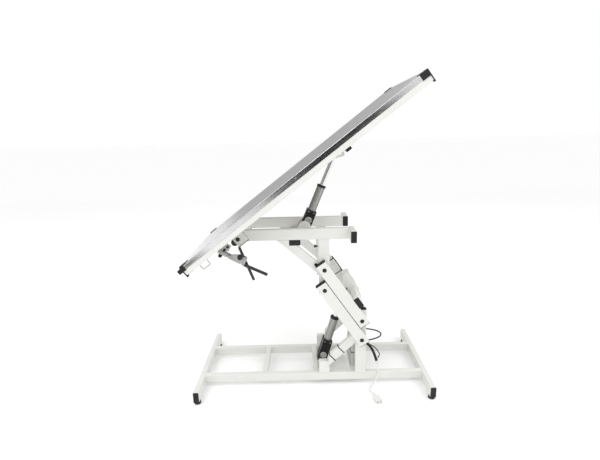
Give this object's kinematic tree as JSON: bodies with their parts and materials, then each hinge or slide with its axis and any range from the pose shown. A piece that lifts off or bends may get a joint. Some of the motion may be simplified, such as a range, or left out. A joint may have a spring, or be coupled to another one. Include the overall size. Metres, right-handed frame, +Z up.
{
  "type": "height-adjusting tilting treatment table",
  "caption": "Electric treatment table: a steel base, a parallelogram lift and a stainless deck that tilts, each moved by a linear actuator.",
  "frame": {"origin": "on the floor, under the middle of the base", "axes": "+X towards the end of the deck that rises, +Y to the rear, +Z up"},
  "size_m": [1.097, 0.5976, 1.3962],
  "materials": {
    "white_powder_coat": "satin white powder coat on steel tube and plate",
    "stainless_sheet": "brushed stainless steel under a thin clear film",
    "ply_board": "plywood core, raw edges covered",
    "black_plastic": "moulded black plastic, fine texture",
    "motor_plastic": "moulded black glass-filled nylon",
    "black_rubber": "black rubber",
    "black_bolt": "black oxide steel",
    "bright_steel": "zinc plated steel wire and screws",
    "tube_alloy": "grey anodised extrusion",
    "rod_steel": "polished steel",
    "bush_brass": "plain turned brass",
    "screw_steel": "rolled steel screw",
    "clamp_alloy": "cast alloy",
    "clamp_rod_steel": "dark coated steel rod",
    "box_plastic": "light grey plastic case",
    "cable_black": "black cable sheath",
    "lead_grey": "light grey lead and moulded plug"
  },
  "bodies": {
    "base": {"base_cross_tubes": "white_powder_coat", "base_feet": "black_rubber", "base_rails": "white_powder_coat", "base_mid_tubes": "white_powder_coat", "base_posts": "white_powder_coat", "base_caps": "black_plastic", "base_braces": "white_powder_coat", "lift_ears": "white_powder_coat", "base_bolts": "black_bolt", "control_shelf": "white_powder_coat", "control_box": "box_plastic", "cable_bundle": "cable_black", "cable_loops": "cable_black", "lead_relief": "cable_black", "mains_lead": "lead_grey", "mains_plug": "lead_grey"},
    "upper_links": {"upper_links": "white_powder_coat", "upper_link_bushes": "bush_brass", "upper_link_caps": "black_plastic", "link_cross_tube": "white_powder_coat", "lever_plates": "white_powder_coat", "link_cable": "cable_black"},
    "lower_links": {"lower_links": "white_powder_coat", "lower_link_bushes": "bush_brass", "lower_link_caps": "black_plastic"},
    "upper_frame": {"upper_rails": "white_powder_coat", "upper_stubs": "white_powder_coat", "upper_posts": "white_powder_coat", "upper_braces": "white_powder_coat", "upper_cross_tube": "white_powder_coat", "upper_frame_caps": "black_plastic", "tilt_ears": "white_powder_coat", "upper_bolts": "black_bolt"},
    "deck": {"deck_sheet": "stainless_sheet", "deck_board": "ply_board", "deck_side_tubes": "white_powder_coat", "deck_cross_tubes": "white_powder_coat", "deck_drive_caps": "black_plastic", "hinge_brackets": "white_powder_coat", "hinge_bolts": "black_bolt", "deck_ears": "white_powder_coat", "corner_guards": "black_plastic", "deck_buffers": "black_rubber", "skirt_screws": "bright_steel", "tie_loops": "bright_steel", "clamp_bracket": "clamp_alloy"},
    "clamp_arm": {"clamp_arm": "clamp_alloy"},
    "clamp_rod": {"clamp_rod": "clamp_rod_steel"},
    "clamp_knob": {"clamp_knob": "black_plastic"},
    "clamp_screw": {"clamp_screw": "black_plastic"},
    "lift_actuator": {"lift_housing": "motor_plastic", "lift_tube": "tube_alloy", "lift_screw": "screw_steel"},
    "lift_rod": {"lift_rod": "rod_steel", "lift_rod_pin": "bright_steel"},
    "tilt_actuator": {"tilt_housing": "motor_plastic", "tilt_tube": "tube_alloy", "tilt_screw": "screw_steel"},
    "tilt_rod": {"tilt_rod": "rod_steel", "tilt_rod_pin": "bright_steel"}
  },
  "joints": [
    {"name": "lift", "type": "hinge", "parent": "base", "child": "upper_links", "pos_m": [0.2265, 0, 0.345], "axis": [0, -1, 0], "range_deg": [0, 60]},
    {"name": "lower_link_swing", "type": "hinge", "parent": "base", "child": "lower_links", "pos_m": [0.2265, 0, 0.249], "axis": [0, -1, 0], "range_deg": [-1, 61]},
    {"name": "upper_frame_level", "type": "hinge", "parent": "upper_links", "child": "upper_frame", "pos_m": [0.0576, 0, 0.5945], "axis": [0, -1, 0], "range_deg": [-61, 1]},
    {"name": "lift_actuator_swing", "type": "hinge", "parent": "base", "child": "lift_actuator", "pos_m": [0.042, 0, 0.052], "axis": [0, -1, 0], "range_deg": [-1, 6]},
    {"name": "lift_rod_stroke", "type": "slide", "parent": "lift_actuator", "child": "lift_rod", "axis": [0.2988, 0, 0.9543], "range_m": [-0.118, 0.002]},
    {"name": "tilt", "type": "hinge", "parent": "upper_frame", "child": "deck", "pos_m": [-0.319, 0, 0.741], "axis": [0, 1, 0], "range_deg": [0, 37]},
    {"name": "tilt_actuator_swing", "type": "hinge", "parent": "upper_frame", "child": "tilt_actuator", "pos_m": [-0.025, 0, 0.752], "axis": [0, 1, 0], "range_deg": [-1, 68]},
    {"name": "tilt_rod_stroke", "type": "slide", "parent": "tilt_actuator", "child": "tilt_rod", "axis": [0.3869, 0, 0.9221], "range_m": [-0.104, 0.002]},
    {"name": "clamp_arm_swing", "type": "hinge", "parent": "deck", "child": "clamp_arm", "pos_m": [-0.346, -0.203, 0.684], "axis": [0, -1, 0], "range_deg": [-30, 20]},
    {"name": "clamp_rod_slide", "type": "slide", "parent": "clamp_arm", "child": "clamp_rod", "axis": [-0.3443, 0, 0.9389], "range_m": [-0.035, 0.025]},
    {"name": "clamp_knob_turn", "type": "hinge", "parent": "clamp_arm", "child": "clamp_knob", "pos_m": [-0.301, -0.22, 0.684], "axis": [0, -1, 0], "range_deg": [0, 180]},
    {"name": "clamp_screw_turn", "type": "hinge", "parent": "deck", "child": "clamp_screw", "pos_m": [-0.38, -0.203, 0.7024], "axis": [-0.4782, 0, -0.8783], "range_deg": [0, 180]}
  ],
  "couplings": [
    {"joint": "lower_link_swing", "follows": "lift", "ratio": 1},
    {"joint": "upper_frame_level", "follows": "lift", "ratio": -1},
    {"joint": "lift_actuator_swing", "follows": "lift", "ratio": 0.080542},
    {"joint": "lift_rod_stroke", "follows": "lift", "m_per_rad": -0.11048},
    {"joint": "tilt_actuator_swing", "follows": "tilt", "ratio": 1.7986},
    {"joint": "tilt_rod_stroke", "follows": "tilt", "m_per_rad": -0.15765}
  ]
}
